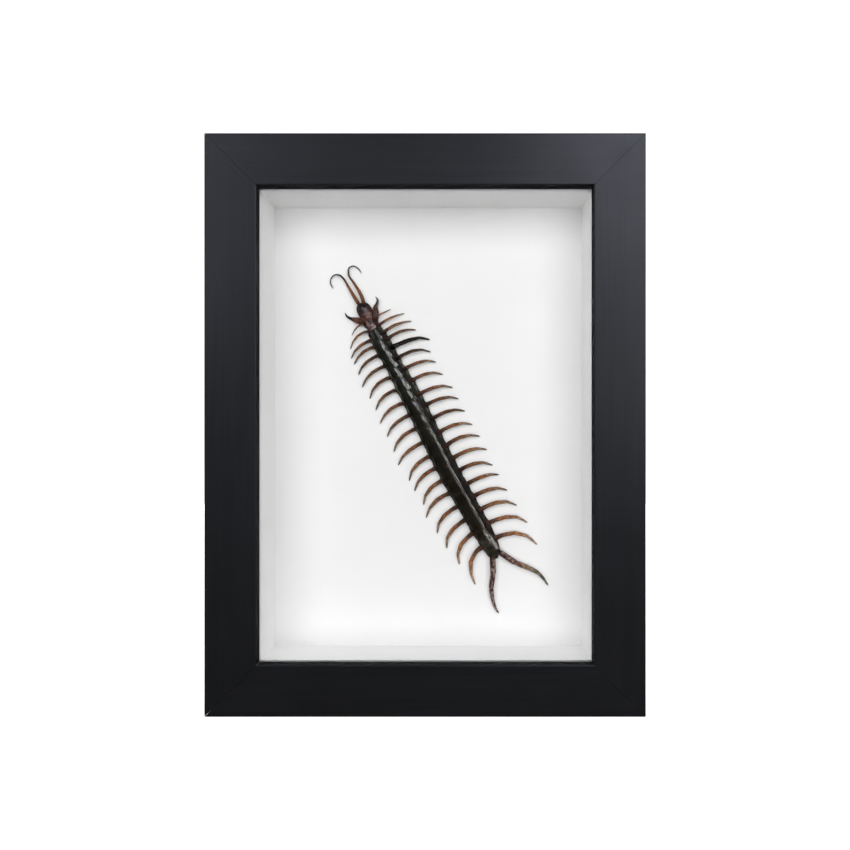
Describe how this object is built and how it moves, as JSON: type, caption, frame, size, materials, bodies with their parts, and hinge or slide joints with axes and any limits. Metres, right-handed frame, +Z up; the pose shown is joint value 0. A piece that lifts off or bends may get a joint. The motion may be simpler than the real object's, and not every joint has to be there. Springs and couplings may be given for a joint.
{
  "type": "framed centipede specimen",
  "caption": "Dried centipede lying spread on white card in a black mitred box frame with a glass front, white inner walls and a fibreboard back with a sawtooth hanger.",
  "frame": {"origin": "middle of the frame's underside, on the surface that it stands on", "axes": "+X to the viewer's right, +Z up, the glass faces -Y"},
  "size_m": [0.16, 0.032, 0.2115],
  "materials": {
    "black_lacquer": "black painted wood moulding, satin, with faint brushed grain",
    "clear_glass": "clear flat picture glass",
    "white_liner": "matte white strip",
    "white_card": "smooth matte white card",
    "brown_board": "raw brown fibreboard",
    "zinc_steel": "zinc-plated sheet steel",
    "dark_cuticle": "glossy dried cuticle, olive black on the trunk, red brown on head and legs"
  },
  "bodies": {
    "root": {"rail_top": "black_lacquer", "rail_bottom": "black_lacquer", "rail_left": "black_lacquer", "rail_right": "black_lacquer", "glass_pane": "clear_glass", "liner_top": "white_liner", "liner_bottom": "white_liner", "liner_left": "white_liner", "liner_right": "white_liner", "mount_card": "white_card", "back_board": "brown_board", "retaining_tab_1": "zinc_steel", "retaining_tab_2": "zinc_steel", "retaining_tab_3": "zinc_steel", "retaining_tab_4": "zinc_steel", "retaining_tab_5": "zinc_steel", "retaining_tab_6": "zinc_steel", "hanger_plate": "zinc_steel", "hanger_rivet_left": "zinc_steel", "hanger_rivet_right": "zinc_steel", "centipede": "dark_cuticle"}
  },
  "joints": []
}
